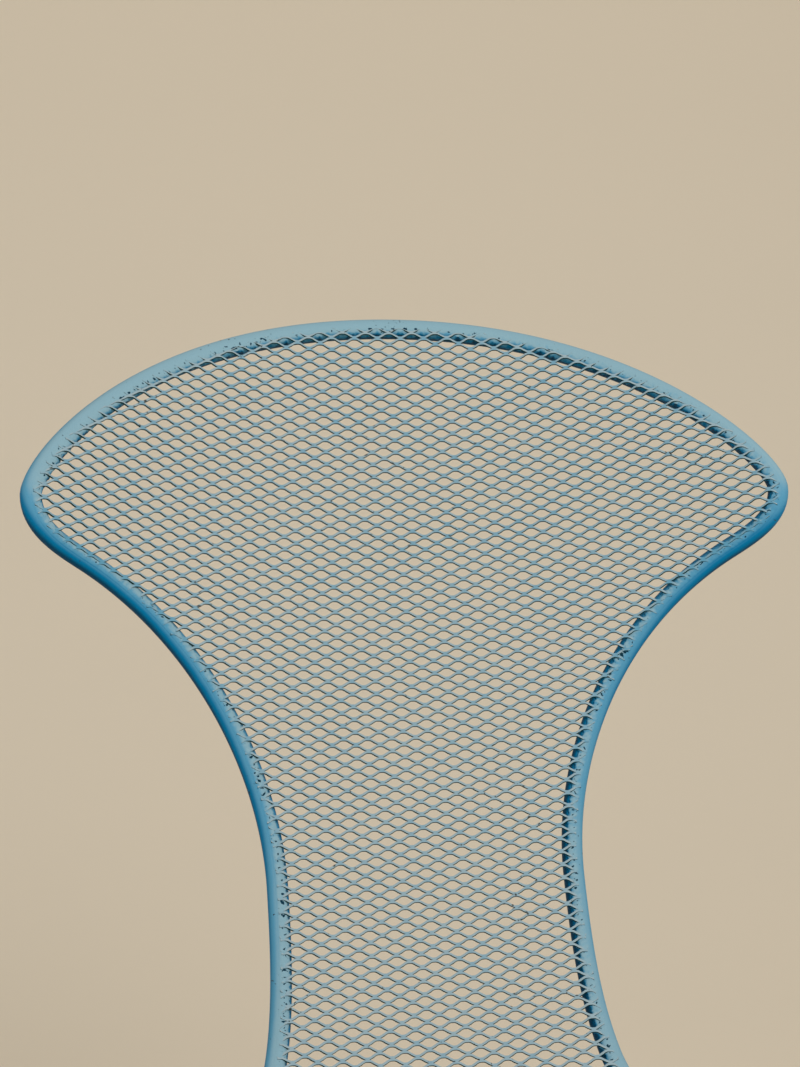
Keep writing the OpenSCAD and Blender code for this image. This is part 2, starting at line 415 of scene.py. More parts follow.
# %% The slant
# The bond turns as a whole about the long way. Towards its end a strand
# turns more, grows a little wider, and comes back to the middle of the
# sheet's depth, where the next cell's strand meets it.
places = vertex_places(cell.data)
u, v, n = places.T
progress = np.clip((np.abs(u) - BOND_LEN / 2) / REACH, 0, 1)
above = v > 0
climbed = np.zeros(len(u))
for half, mask in (("upper", above), ("lower", ~above)):
    alongs, rises = zip((0, 0), *BENDS[half])
    climbed[mask] = np.interp(progress[mask], alongs, rises)
on_strand = progress > 1e-6
row_of = np.where(above, 1, -1)
flat_middle = row_of * (STRAND_W / 2 + climbed * (CLIMB - STRAND_W / 2))
bond_middle = STRAND_W / 2 * math.cos(BOND_SLANT)
turned_middle = row_of * (bond_middle + climbed * (CLIMB - bond_middle))
turned_depth = -row_of * STRAND_W / 2 * math.sin(BOND_SLANT) * (1 - progress)
flat_middle, turned_middle, turned_depth = (
    np.where(on_strand, value, 0) for value in (flat_middle, turned_middle, turned_depth)
)
turn = BOND_SLANT + (STRAND_SLANT - BOND_SLANT) * progress
local = (v - flat_middle) * (1 + WIDEN * progress)
turned_v = turned_middle + local * np.cos(turn) + n * np.sin(turn)
turned_n = turned_depth - local * np.sin(turn) + n * np.cos(turn)
place_vertices(cell.data, np.stack([u, turned_v, turned_n], axis=1))
cell_depth = float(np.ptp(vertex_places(cell.data)[:, 2]))
print("cell depth:", round(cell_depth / MM, 2), "mm")

# %% Mark where the strands take a painted sheen
# An attribute keeps how far each corner is from its bond; the paint makes
# the strands paler towards their middles, a painted sheen.
painted_strand_sheen = cell.data.attributes.new("painted_strand_sheen", "FLOAT", "POINT")
painted_strand_sheen.data.foreach_set("value", progress)

# %% Keep each stretch of strand whole
# A stretch is a bond or one straight run of a strand. Each face remembers
# the way to its stretch's middle, so that a stretch is kept or cut as one.
# Stretches are told apart by a number: 0 is the bond.
BOND_END = 0.05
middles = face_middles(cell.data)
side_of = np.sign(middles[:, 0])
face_progress = (np.abs(middles[:, 0]) - BOND_LEN / 2) / REACH
stretch = np.zeros(len(middles))
for row, half in ((1, "upper"), (-1, "lower")):
    bends_at = [along for along, _ in BENDS[half]][:-1]
    run_of = np.digitize(face_progress, (BOND_END, *bends_at))
    on_run = (row * middles[:, 1] > 0) & (run_of > 0)
    stretch[on_run] = (side_of * (10 + row + 10 * run_of))[on_run]
to_middle = np.zeros_like(middles)
for number in np.unique(stretch):
    mask = stretch == number
    to_middle[mask] = middles[mask].mean(axis=0) - middles[mask]
way = cell.data.attributes.new("to_middle", "FLOAT_VECTOR", "FACE")
way.data.foreach_set("vector", to_middle.ravel())
print("stretches in a cell:", len(np.unique(stretch)))


def stretch_middles(mesh):
    """The middle of each face's stretch, the same for all of its faces."""
    ways = np.empty(3 * len(mesh.polygons), dtype=np.float32)
    mesh.attributes["to_middle"].data.foreach_get("vector", ways)
    return np.round(face_middles(mesh) + ways.reshape(-1, 3), 5)


# %% [markdown]
# ## The flat sheet
# Array modifiers lay the cell out in staggered rows. Strands that meet are
# joined by merging their doubled corners, so the sheet is one piece of
# metal, as it is in the factory.

# %% Lay out the cells
COLUMNS = int(2 * wing_tip[0] * MM / LONG_WAY) + 3
ROWS = int((CROWN_V + FRONT_END) / SHORT_WAY) + 3
for name, count, offset in (
    ("staggered pair", 2, (LONG_WAY / 2, SHORT_WAY / 2, 0)),
    ("columns", COLUMNS, (LONG_WAY, 0, 0)),
    ("rows", ROWS, (0, SHORT_WAY, 0)),
):
    array = cell.modifiers.new(name, "ARRAY")
    array.use_relative_offset = False
    array.use_constant_offset = True
    array.constant_offset_displace = offset
    array.count = count
apply_modifiers(cell)
sheet = cell
sheet.name = "mesh_sheet_flat"
LATTICE_SHIFT = np.array([0.1 * MM, 4.2 * MM, 0])
first = np.array([-(COLUMNS // 2) * LONG_WAY, CROWN_V - (ROWS - 1) * SHORT_WAY, 0])
place_vertices(sheet.data, vertex_places(sheet.data) + first + LATTICE_SHIFT)
print("faces laid out:", len(sheet.data.polygons))

# %% [markdown]
# ## Cut to the outline
# Strands are sheared off a little beyond the rim tube's centre line. The
# stretches whose middles lie outside are deleted, the corners that coincide
# are merged, and bits that hang on to nothing fall off.

# %% Trim and merge
TRIM_OUT = 2.6 * MM
MERGE_WITHIN = 0.02 * MM


def inside_outline(flat, margin):
    return np.abs(flat[:, 0]) < half_width(flat[:, 1]) + margin


middles = stretch_middles(sheet.data)
pick_faces(sheet, ~inside_outline(middles, TRIM_OUT))
bpy.ops.mesh.delete(type="FACE")
bpy.ops.mesh.select_all(action="SELECT")
bpy.ops.mesh.remove_doubles(threshold=MERGE_WITHIN)
bpy.ops.object.mode_set(mode="OBJECT")
middles = stretch_middles(sheet.data)
pick_faces(sheet, np.abs(middles[:, :2]).max(axis=1) < SHORT_WAY)
bpy.ops.mesh.select_linked()
bpy.ops.mesh.select_all(action="INVERT")
bpy.ops.mesh.delete(type="FACE")
bpy.ops.object.mode_set(mode="OBJECT")
print("faces kept:", len(sheet.data.polygons), "triangles:", triangles(sheet))

# %% [markdown]
# ## Press it to shape
# Near the rim the strands are dressed down until their ends lie along the
# face of the tube, a little deeper at the crown. Then every corner goes
# through the shell's formula.

# %% Dress the edge and form the shell
SINK = 2.0 * MM
SINK_BAND = 8 * MM
SINK_POWER = 1.5
MOST_EASE = 1.2
CROWN_SINK = 1.2 * MM
CROWN_SINK_FROM = 80 * MM
CROWN_SINK_RUN = 100 * MM
TUBE_BITE = 0.45 * MM
TUBE_FACE = 0.8  # share of its radius squared that counts as the tube's face
NEAR_RIM = 6 * SINK_BAND
CHUNK = 2000


def rim_distance(flat):
    """Distance of flat places inside the outline, up to the sink band."""
    near = np.abs(flat[:, 0]) > half_width(flat[:, 1]) - NEAR_RIM
    near |= (flat[:, 1] > CROWN_V - NEAR_RIM) | (flat[:, 1] < NEAR_RIM - FRONT_END)
    distance = np.full(len(flat), SINK_BAND)
    picked = np.flatnonzero(near)
    for start in range(0, len(picked), CHUNK):
        part = picked[start : start + CHUNK]
        gaps = flat[part][:, None, :] - fine_loop[None, ::2, :]
        distance[part] = np.sqrt((gaps**2).sum(axis=2).min(axis=1))
    outside = ~inside_outline(flat, 0)
    distance[outside] *= -1
    return np.minimum(distance, SINK_BAND)


flat_v = stretch_middles(sheet.data)[:, 1]
flat = vertex_places(sheet.data)
distance = rim_distance(flat[:, :2])
ease = np.clip(1 - distance / SINK_BAND, 0, MOST_EASE)
toward_crown = np.clip((flat[:, 1] - CROWN_SINK_FROM) / CROWN_SINK_RUN, 0, 1)
pressed = -(SINK + CROWN_SINK * toward_crown) * ease**SINK_POWER
across_tube = np.minimum(distance**2, TUBE_FACE * RIM_R**2)
tube_face = np.sqrt(RIM_R**2 - across_tube) - RIM_DROP
lift = flat[:, 2] + np.maximum(pressed, tube_face - TUBE_BITE)
place_vertices(sheet.data, shell(flat[:, 0], flat[:, 1], lift))
print("box of the formed sheet:", np.round(np.ptp(vertex_places(sheet.data), axis=0), 3))

# %% Part it into four lengths, top to bottom
# One mesh of this size is slow to handle, so the sheet is kept as four
# lengths that meet where its rows do. Each cut end of a strand is closed.
PART_AT = (-20 * MM, -440 * MM, -600 * MM)
PART_NAMES = ("mesh_sheet_wings", "mesh_sheet_waist", "mesh_sheet_seat", "mesh_sheet_front")
STRAND_SMOOTH = math.radians(38)
part_of = np.digitize(-flat_v, -np.array(PART_AT))
sheet_parts = []
for index, name in enumerate(PART_NAMES):
    select_only(sheet)
    bpy.ops.object.duplicate()
    part = bpy.context.object
    part.name = part.data.name = name
    pick_faces(part, part_of != index)
    bpy.ops.mesh.delete(type="FACE")
    bpy.ops.mesh.select_mode(type="EDGE")
    bpy.ops.mesh.select_all(action="DESELECT")
    bpy.ops.mesh.select_non_manifold(
        extend=False, use_wire=False, use_multi_face=False,
        use_non_contiguous=False, use_verts=False,
    )
    bpy.ops.mesh.fill_holes(sides=12)
    bpy.ops.mesh.select_mode(type="FACE")
    bpy.ops.object.mode_set(mode="OBJECT")
    bpy.ops.object.shade_smooth_by_angle(angle=STRAND_SMOOTH)
    sheet_parts.append(part)
    edges = np.array([edge for face in part.data.polygons for edge in face.edge_keys])
    uses = np.unique(edges, axis=0, return_counts=True)[1]
    print(name, "triangles:", triangles(part))
    print("  open edges:", int((uses == 1).sum()), "crowded edges:", int((uses > 2).sum()))
select_only(sheet)
bpy.ops.object.delete()

# %% [markdown]
# ## Bent tubes
# A bender's tube keeps its round section all the way, so each one is a path
# with a round bevel, turned into a mesh. The construction model's tubes
# have flat facets, and these smooth ones stand in their places.

# %% Tube along a path
TUBE_SIDES = 28


def tube(name, path, radius, closed):
    curve = bpy.data.curves.new(name, "CURVE")
    curve.dimensions = "3D"
    line = curve.splines.new("POLY")
    line.points.add(len(path) - 1)
    line.points.foreach_set("co", np.c_[path, np.ones(len(path))].ravel())
    line.use_cyclic_u = closed
    curve.bevel_depth = radius
    curve.bevel_resolution = (TUBE_SIDES - 4) // 4
    curve.use_fill_caps = not closed
    obj = bpy.data.objects.new(name, curve)
    bpy.context.collection.objects.link(obj)
    select_only(obj)
    bpy.ops.object.convert(target="MESH")
    obj = bpy.context.object
    bpy.ops.object.shade_smooth_by_angle(angle=ROUND_SMOOTH)
    print(name, "triangles:", triangles(obj))
    return obj


# %% Rim tube
RIM_STEP = 4 * MM
loop = whole_outline(RIM_STEP)
rim_path = shell(loop[:, 0], loop[:, 1], np.full(len(loop), -RIM_DROP))
rim_tube = tube("rim_tube_smooth", rim_path, RIM_R, closed=True)

# %% [markdown]
# ## Leg frames
# One tube makes a front leg, the rail under the rim and a rear leg. Its
# path lies in a plane that leans out a little towards the floor. The path
# is worked out in that plane and carried to its place.

# %% Leg frame paths
LEG_R = 9.5 * MM
RAIL_LEN = 200 * MM
RAIL_BACK = 30 * MM
LEG_BEND_R = 45 * MM
FRONT_RAKE = math.radians(2)
REAR_RAKE = math.radians(31)
SPLAY = math.radians(5)
SEAT_RISE = SEAT_LEAN - math.pi / 2
GLIDE_FLOOR = 4 * MM
SIDE_X = SEAT_HALF * MM
SIDE_MID = (side_start + SIDE_RUN / 2) * MM
RAIL_DROP = RIM_DROP + RIM_R + WELD_GAP + LEG_R

rail_middle = shell(np.array([SIDE_X]), np.array([RAIL_BACK - SIDE_MID]), -RAIL_DROP)[0]
rail_way = np.array([0, math.cos(SEAT_RISE), -math.sin(SEAT_RISE)])
frame_up = np.array([
    -math.sin(SPLAY),
    math.cos(SPLAY) * math.sin(SEAT_RISE),
    math.cos(SPLAY) * math.cos(SEAT_RISE),
])


def leg_path(way, rake):
    """Bend and straight leg, from the rail down to the glide."""
    angles = np.linspace(math.pi / 2, rake, 13)
    flat_path = [
        (way * (RAIL_LEN / 2 + LEG_BEND_R * math.cos(a)), LEG_BEND_R * (math.sin(a) - 1))
        for a in angles
    ]
    path = [rail_middle + x * rail_way + y * frame_up for x, y in flat_path]
    leg = way * math.sin(rake) * rail_way - math.cos(rake) * frame_up
    foot = path[-1] + leg * (GLIDE_FLOOR - path[-1][2]) / leg[2]
    return path + [foot]


right_path = np.array(leg_path(-1, FRONT_RAKE)[::-1] + leg_path(1, REAR_RAKE))
leg_frames = [
    tube(name, right_path * (side, 1, 1), LEG_R, closed=False)
    for name, side in (("left_leg_frame_smooth", -1), ("right_leg_frame_smooth", 1))
]

# %% [markdown]
# ## Paint drowned edge
# Coat after coat has filled the crevice between the sheet and its tube. The
# strand ends lie in it as lumps, and it creeps out a little way along each
# strand. A closed band of points round the loop makes it: its section sits
# on the tube, and its height and its inner edge follow the strands.

# %% Distance from the nearest strand


def strand_distance(flat):
    """Distance of flat places from the middle line of the nearest strand."""
    a = (flat[:, 0] - LATTICE_SHIFT[0]) / LONG_WAY
    b = (flat[:, 1] - LATTICE_SHIFT[1] - CROWN_V) / SHORT_WAY
    off_line = [np.abs(c - np.round(c)) for c in (a + b, a - b)]
    return np.minimum(*off_line) / math.hypot(1 / LONG_WAY, 1 / SHORT_WAY)


def lumps(places, size):
    """Smooth unevenness from -1 to 1, the same on every run."""
    return np.array([noise.noise(Vector(place / size)) for place in places])


# %% What shapes the bead
# Its top sits on the tube, and its underside closes it inside the tube. The
# causes that move it are a share everywhere, a strand's end, unevenness and
# sagging. Numbers without MM are in mm too.
BEAD_STEP = 0.9 * MM
# The crevice column darkens the bead as painted shade.
BEAD_TOP = (  # distance inside the tube's middle line, height over the tube, crevice
    (-5.2, -0.5, 0), (-3.8, 0.0, 0), (-2.2, 0.12, 0), (-0.6, 0.25, 0), (1.0, 0.4, 0),
    (2.6, 0.65, 0), (3.8, 0.8, 0.1), (4.7, 0.5, 0.7), (5.3, -0.6, 1),
)
BEAD_UNDER = ((4.0, -3.0, 1), (0.0, -3.5, 1), (-4.0, -3.0, 0))
BEAD_LIMITS = (-7.9, 7.6)
FREE_FROM = -4
FREE_RUN = 9
STRAND_LUMP = 1.1
COARSE = 2.6 * MM
FINE = 1.1 * MM
CREEP = (-1.2, 1.9, 0.8, 3.3)
SWELL = (0, 0.9, 0.75, 0)
# Paler bead face: partly chalk, partly painted light on the strand lumps.
FACE_CHALK_AND_LIGHT = (0.28, 0.3, 0.4, 0.3)
SAG_HEIGHT = ((-1, 2, 5), (0, 0.9, 1.2))
# Painted shade in the crevice, lightened on strand ends and where the bead sags.
CREVICE_PAINTED_SHADE = 0.9
STRAND_LIGHT = 0.5
SAG_LIGHT = 0.9
SAG_LIGHT_UNDER = 0.35
# Hollows beside the strand ends, bumped in and painted dark as shade.
PIT_SHADE_FROM_STRAND = 1.9
PIT_SHADE_WIDTH = 0.9
PIT_SHADE_LINE = -0.3
PIT_SHADE_SAG = 2.7
PIT_SHADE_BAND = 2.4
PALE_LIFT = 0.2
PALE_BAND = (190 * MM, 290 * MM)


def inward_way(line):
    """Directions towards the inside of a closed flat line that runs clockwise."""
    ahead = np.roll(line, -1, axis=0) - np.roll(line, 1, axis=0)
    ahead /= np.linalg.norm(ahead, axis=1)[:, None]
    return np.stack([ahead[:, 1], -ahead[:, 0]], axis=1)


def formed_way(line, flat_way):
    """The same directions on the formed shell."""
    tip = line + flat_way * MM
    way = shell(tip[:, 0], tip[:, 1], np.zeros(len(line)))
    way -= shell(line[:, 0], line[:, 1], np.zeros(len(line)))
    return way / np.linalg.norm(way, axis=1)[:, None]


def paler_low_left(line):
    """Low on the left side of the back the tube is made paler."""
    return np.interp(-line[:, 1], PALE_BAND, (0, PALE_LIFT)) * (line[:, 0] < 0)


def add_up(causes, near, rough, sag):
    """What the four causes come to, each weighed by its number."""
    return causes[0] + causes[1] * near + causes[2] * rough + causes[3] * sag


# %% Paint bead round the rim
bead_line = whole_outline(BEAD_STEP)
inward = inward_way(bead_line)
sag = np.clip(-formed_way(bead_line, inward)[:, 2], 0, 1)
rings = []
lifts = []
pit_shade = []
for index, (inside, over, crevice_shade) in enumerate(BEAD_TOP + BEAD_UNDER):
    on_top = index < len(BEAD_TOP)
    share = np.clip((inside - FREE_FROM) / FREE_RUN, 0, 1) * on_top
    flat = bead_line + inward * inside * MM
    away = strand_distance(flat) / MM
    near = np.exp(-((away / STRAND_LUMP) ** 2))
    level = np.c_[flat, np.zeros(len(flat))]
    rough = lumps(level, COARSE) + 0.5 * lumps(level, FINE)
    creep = share * add_up(CREEP, near, rough, sag)
    reach = np.clip(inside + creep, *BEAD_LIMITS) * MM
    flat = bead_line + inward * reach[:, None]
    tube_top = np.sqrt(RIM_R**2 - reach**2) - RIM_DROP
    swell = share * add_up(SWELL, near, rough, sag)
    swell += sag * np.interp(inside, *SAG_HEIGHT) * on_top
    over_tube = over + swell * (over > 0)
    rings.append(shell(flat[:, 0], flat[:, 1], tube_top + over_tube * MM))
    # Painted shade in the crevice under the sheet.
    sag_light = SAG_LIGHT if on_top and inside < 5 else SAG_LIGHT_UNDER
    bead_shade = crevice_shade * (1 - STRAND_LIGHT * near) * (1 - sag_light * sag)
    raised = share * add_up(FACE_CHALK_AND_LIGHT, near, rough, sag)
    lifts.append(raised + paler_low_left(bead_line) - CREVICE_PAINTED_SHADE * bead_shade)
    beside = np.exp(-(((away - PIT_SHADE_FROM_STRAND) / PIT_SHADE_WIDTH) ** 2))
    from_line = (inside + creep - PIT_SHADE_LINE - PIT_SHADE_SAG * sag) / PIT_SHADE_BAND
    pit_shade.append(beside * np.exp(-(from_line**2)) * on_top)
paint_bead = ring_skin("paint_bead", np.stack(rings, axis=1), closed=True)
print("paint bead triangles:", triangles(paint_bead))

# %% Mark painted shade on the tube's inner flank, the bead's pale face and its hollows
# The tube's inner flank, just under the sheet, and the bead's inner edge
# and underside are darkened as painted shade: the attribute "lift" holds
# the colour down there. On the bead's face it raises it, partly as chalk and
# partly as painted light on the strand lumps, and a second attribute marks
# the hollows beside the strand ends, which are bumped in and painted dark as
# shade.
FLANK_SHADE_DEPTH = 0.6
FLANK_SHADE_FROM_FRONT = (20, 42, 100, 150)  # degrees, inwards round the tube


def mark(obj, name, values):
    attribute = obj.data.attributes.new(name, "FLOAT", "POINT")
    attribute.data.foreach_set("value", np.ascontiguousarray(values, dtype=np.float32))


nearest = KDTree(len(rings) * len(bead_line))
for index, place in enumerate(np.stack(rings, axis=1).reshape(-1, 3)):
    nearest.insert(place, index)
nearest.balance()
found = [nearest.find(place)[1] for place in vertex_places(paint_bead.data)]
mark(paint_bead, "lift", np.stack(lifts, axis=1).ravel()[found])
mark(paint_bead, "pit_shade", np.stack(pit_shade, axis=1).ravel()[found])

places = vertex_places(rim_tube.data)
ring_of = np.repeat(np.arange(len(loop)), len(places) // len(loop))
arm = (places - rim_path[ring_of]) / RIM_R
inner = (arm * formed_way(loop, inward_way(loop))[ring_of]).sum(axis=1)
outer = (arm * toward(loop[:, 0], loop[:, 1])[ring_of]).sum(axis=1)
from_front = np.degrees(np.arctan2(inner, outer))
# Painted shade on the tube's inner flank, under the sheet.
painted_flank_shade = np.interp(from_front, FLANK_SHADE_FROM_FRONT, (0, 1, 1, 0))
mark(rim_tube, "lift", paler_low_left(loop)[ring_of] * (1 - painted_flank_shade) - FLANK_SHADE_DEPTH * painted_flank_shade)
arm_lengths = np.linalg.norm(arm, axis=1)
print("rim corners lie", np.round([arm_lengths.min(), arm_lengths.max()], 3), "radii out")

# %% [markdown]
# ## Welds
# The frames are welded under the rim with short runs, and each cross rail
# has a run round its end. A run is a rounded bar with the ripples that the
# torch leaves. Like the sheet, it is drawn flat and then formed.

# %% Weld runs
RUN_HALF = 14 * MM
RUN_R = 2.7 * MM
RUN_RINGS = 34
RUN_PLACES = (-48 * MM, 52 * MM)
GROOVE = 4.6 * MM
RIPPLE = (0.1, 38)  # share of the radius, and turning along the run
SWAY = (0.06, 17)
RING_R = 1.5
RING_RIPPLE = (0.14, 16)
RING_FLAT = 0.8
RING_OFF_RIM = 0.8 * MM
CROSS_R = 6 * MM
RAIL_SETBACK = 18 * MM
CONTACT = -(RIM_DROP + RIM_R + WELD_GAP / 2)
around = np.linspace(0, 2 * math.pi, 14, endpoint=False)


def weld_run(u_middle, v_middle):
    """Short rippled run with rounded ends, along the line where two tubes meet."""
    rings = []
    for t in np.linspace(-1, 1, RUN_RINGS):
        ripple = 1 + RIPPLE[0] * math.sin(t * RIPPLE[1])
        ripple += SWAY[0] * math.sin(t * SWAY[1] + u_middle * 900)
        rounded = max(1 - abs(t) ** 5, 0.02) ** 0.5
        r = RUN_R * ripple * rounded
        rings.append(shell(
            u_middle + r * np.cos(around),
            np.full(len(around), v_middle + t * RUN_HALF),
            CONTACT + r * np.sin(around),
        ))
    return ring_skin("weld_run", np.stack(rings), closed=False)


def weld_ring(side, v_middle):
    """Run round the end of a cross rail, where it meets the rim."""
    turns = np.linspace(0, 2 * math.pi, 60, endpoint=False)
    rings = []
    for a in turns:
        r = (RING_R + RING_RIPPLE[0] * math.sin(a * RING_RIPPLE[1])) * MM
        big = CROSS_R + r * np.cos(around) * RING_FLAT
        rings.append(shell(
            side * (SIDE_X - RIM_R - RING_OFF_RIM) + r * np.sin(around),
            v_middle + big * math.cos(a),
            big * math.sin(a) - SHEET_T / 2 - WELD_GAP - CROSS_R,
        ))
    return ring_skin("weld_ring", np.stack(rings), closed=True)


rail_offset = SIDE_RUN / 2 * MM
welds = [
    weld_run(side * (SIDE_X + groove), at - SIDE_MID)
    for side in (-1, 1) for groove in (-GROOVE, GROOVE) for at in RUN_PLACES
]
welds += [
    weld_ring(side, at)
    for side in (-1, 1)
    for at in (
        rail_offset - SIDE_MID - RAIL_SETBACK,
        -rail_offset - SIDE_MID + RAIL_SETBACK,
    )
]
select_only(*welds)
bpy.ops.object.join()
weld_beads = bpy.context.object
weld_beads.name = weld_beads.data.name = "weld_beads"
print("weld triangles:", triangles(weld_beads))

# %% [markdown]
# ## Foot glides
# Each foot stands in a moulded rubber cap: a rounded foot, three shallow
# ribs for grip, and a rolled lip. Its rings lie level, so the foot is flat
# on the floor although the leg is not upright.

# %% Glides
GLIDE_PROFILE = (  # height and radius, in mm
    (0, 9.6), (0.25, 10.8), (1.3, 11.5), (6, 11.5), (6.6, 11.05), (8, 11.05), (8.6, 11.5),
    (11, 11.5), (11.6, 11.05), (13, 11.05), (13.6, 11.5), (16, 11.5), (16.6, 11.05),
    (18, 11.05), (18.6, 11.5), (22, 11.5), (22.8, 12.0), (25, 12.0), (26, 11.4), (26, 9.3),
)
GLIDE_SIDES = 40
glides = []
ring_angles = np.linspace(0, 2 * math.pi, GLIDE_SIDES, endpoint=False)[:, None]
for side_name, side in (("left", -1), ("right", 1)):
    for end_name, foot, above_foot in (("front", 0, 1), ("rear", -1, -2)):
        leg = right_path[foot] - right_path[above_foot]
        leg /= np.linalg.norm(leg)
        across = np.cross(leg, (1, 0, 0))
        across /= np.linalg.norm(across)
        beside = np.cross(leg, across)
        rings = []
        for level, radius in GLIDE_PROFILE:
            ring = right_path[foot] + radius * MM * (
                np.cos(ring_angles) * across + np.sin(ring_angles) * beside
            )
            slide = (level * MM - ring[:, 2]) / leg[2]
            rings.append((ring + slide[:, None] * leg) * (side, 1, 1))
        node = f"{end_name}_{side_name}_glide"
        cap = ring_skin(node + "_cap", np.stack(rings), closed=False)
        glides.append((cap, node))
        print(cap.name, "triangles:", triangles(cap))

# %% [markdown]
# ## Paint and finish
# All the steel wears the same blue. Rain and sun have chalked it where it
# faces up and forward, and painted light makes those faces paler still;
# below, a darker blue is painted shade. One node group works that out
# from the way each face looks, and breaks it up with noise. A second
# adds pits and chips.

# %% Node helpers


def new_group(name, inputs, outputs):
    group = bpy.data.node_groups.new(name, "ShaderNodeTree")
    for label, kind, value in inputs:
        socket = group.interface.new_socket(name=label, in_out="INPUT", socket_type=kind)
        socket.default_value = value
    for label, kind in outputs:
        group.interface.new_socket(name=label, in_out="OUTPUT", socket_type=kind)
    start = group.nodes.new("NodeGroupInput")
    end = group.nodes.new("NodeGroupOutput")
    return group, start, end


def add(tree, kind, values=(), **settings):
    node = tree.nodes.new(kind)
    for key, value in settings.items():
        setattr(node, key, value)
    for key, value in dict(values).items():
        node.inputs[key].default_value = value
    return node


def srgb(red, green, blue):
    """Screen colour, 0 to 255, as the linear colour that a shader wants."""
    shares = [c / 255 for c in (red, green, blue)]
    linear = [
        s / 12.92 if s <= 0.04045 else ((s + 0.055) / 1.055) ** 2.4 for s in shares
    ]
    return (*linear, 1)


ANY_BLUE = srgb(90, 140, 165)
MIX_A, MIX_B, MIXED = 6, 7, 2  # places of a colour mix's sockets


# %% Chalk, painted light and painted shade by the way a face looks
# Four colours, from faces that look down to faces that look up, with the
# levels between them shifted by soft patches. The darkest, on faces that
# look down, is painted shade; the palest, on faces that look up and along
# the sky way, is chalk together with painted light.
LEVELS = ("Deep", "Fresh", "Worn", "Chalked")
chalk_and_light_group, w_in, w_out = new_group(
    "sky_chalk_and_painted_light",
    [(name, "NodeSocketColor", ANY_BLUE) for name in LEVELS]
    + [(name + " Level", "NodeSocketFloat", 0.0) for name in LEVELS]
    + [
        ("Patch Size", "NodeSocketFloat", 40.0),
        ("Patch Strength", "NodeSocketFloat", 0.3),
        ("Lift", "NodeSocketFloat", 0.0),
        ("Sky And Light Way", "NodeSocketVector", (0, 0, 1)),
    ],
    [("Color", "NodeSocketColor"), ("Chalk", "NodeSocketFloat")],
)
links = chalk_and_light_group.links
geometry = add(chalk_and_light_group, "ShaderNodeNewGeometry")
toward_sky_and_light = add(chalk_and_light_group, "ShaderNodeVectorMath", operation="DOT_PRODUCT")
coords = add(chalk_and_light_group, "ShaderNodeTexCoord")
patches = add(chalk_and_light_group, "ShaderNodeTexNoise", {"Detail": 5, "Roughness": 0.62})
centred = add(chalk_and_light_group, "ShaderNodeMath", {1: 0.5}, operation="SUBTRACT")
shifted = add(chalk_and_light_group, "ShaderNodeMath", operation="MULTIPLY_ADD")
facing = add(chalk_and_light_group, "ShaderNodeMath", operation="ADD")
links.new(geometry.outputs["Normal"], toward_sky_and_light.inputs[0])
links.new(w_in.outputs["Sky And Light Way"], toward_sky_and_light.inputs[1])
links.new(coords.outputs["Object"], patches.inputs["Vector"])
links.new(w_in.outputs["Patch Size"], patches.inputs["Scale"])
links.new(patches.outputs["Fac"], centred.inputs[0])
links.new(centred.outputs[0], shifted.inputs[0])
links.new(w_in.outputs["Patch Strength"], shifted.inputs[1])
links.new(toward_sky_and_light.outputs["Value"], shifted.inputs[2])
links.new(shifted.outputs[0], facing.inputs[0])
links.new(w_in.outputs["Lift"], facing.inputs[1])
colour = w_in.outputs["Deep"]
for low, high in zip(LEVELS, LEVELS[1:]):
    step = add(chalk_and_light_group, "ShaderNodeMapRange", interpolation_type="SMOOTHSTEP")
    mix = add(chalk_and_light_group, "ShaderNodeMix", data_type="RGBA")
    links.new(facing.outputs[0], step.inputs["Value"])
    links.new(w_in.outputs[low + " Level"], step.inputs["From Min"])
    links.new(w_in.outputs[high + " Level"], step.inputs["From Max"])
    links.new(step.outputs[0], mix.inputs["Factor"])
    links.new(colour, mix.inputs[MIX_A])
    links.new(w_in.outputs[high], mix.inputs[MIX_B])
    colour = mix.outputs[MIXED]
links.new(colour, w_out.inputs["Color"])
links.new(step.outputs[0], w_out.inputs["Chalk"])
print("weathering nodes:", len(chalk_and_light_group.nodes))

# %% Chips and specks
# Small spots where paint has come away, in loose clusters.
flaws, f_in, f_out = new_group(
    "paint_flaws",
    [
        ("Color", "NodeSocketColor", ANY_BLUE),
        ("Chip Color", "NodeSocketColor", srgb(44, 46, 46)),
        ("Chip Size", "NodeSocketFloat", 260.0),
        ("Chip Level", "NodeSocketFloat", 0.7),
        ("Mottle", "NodeSocketFloat", 0.1),
    ],
    [("Color", "NodeSocketColor"), ("Height", "NodeSocketFloat")],
)
links = flaws.links
coords = add(flaws, "ShaderNodeTexCoord")
spots = add(flaws, "ShaderNodeTexNoise", {"Detail": 2, "Roughness": 0.5})
clusters = add(flaws, "ShaderNodeTexNoise", {"Scale": 22, "Detail": 2})
both = add(flaws, "ShaderNodeMath", {1: 0.45}, operation="MULTIPLY_ADD")
level_top = add(flaws, "ShaderNodeMath", {1: 0.04}, operation="ADD")
chip = add(flaws, "ShaderNodeMapRange", interpolation_type="SMOOTHSTEP")
grain = add(flaws, "ShaderNodeTexNoise", {"Scale": 900, "Detail": 3, "Roughness": 0.7})
grain_centred = add(flaws, "ShaderNodeMath", {1: 0.5}, operation="SUBTRACT")
grain_scaled = add(flaws, "ShaderNodeMath", {2: 1.0}, operation="MULTIPLY_ADD")
mottled = add(flaws, "ShaderNodeHueSaturation")
chipped = add(flaws, "ShaderNodeMix", data_type="RGBA")
height = add(flaws, "ShaderNodeMath", {1: -1.6}, operation="MULTIPLY_ADD")
links.new(coords.outputs["Object"], spots.inputs["Vector"])
links.new(coords.outputs["Object"], clusters.inputs["Vector"])
links.new(coords.outputs["Object"], grain.inputs["Vector"])
links.new(f_in.outputs["Chip Size"], spots.inputs["Scale"])
links.new(clusters.outputs["Fac"], both.inputs[0])
links.new(spots.outputs["Fac"], both.inputs[2])
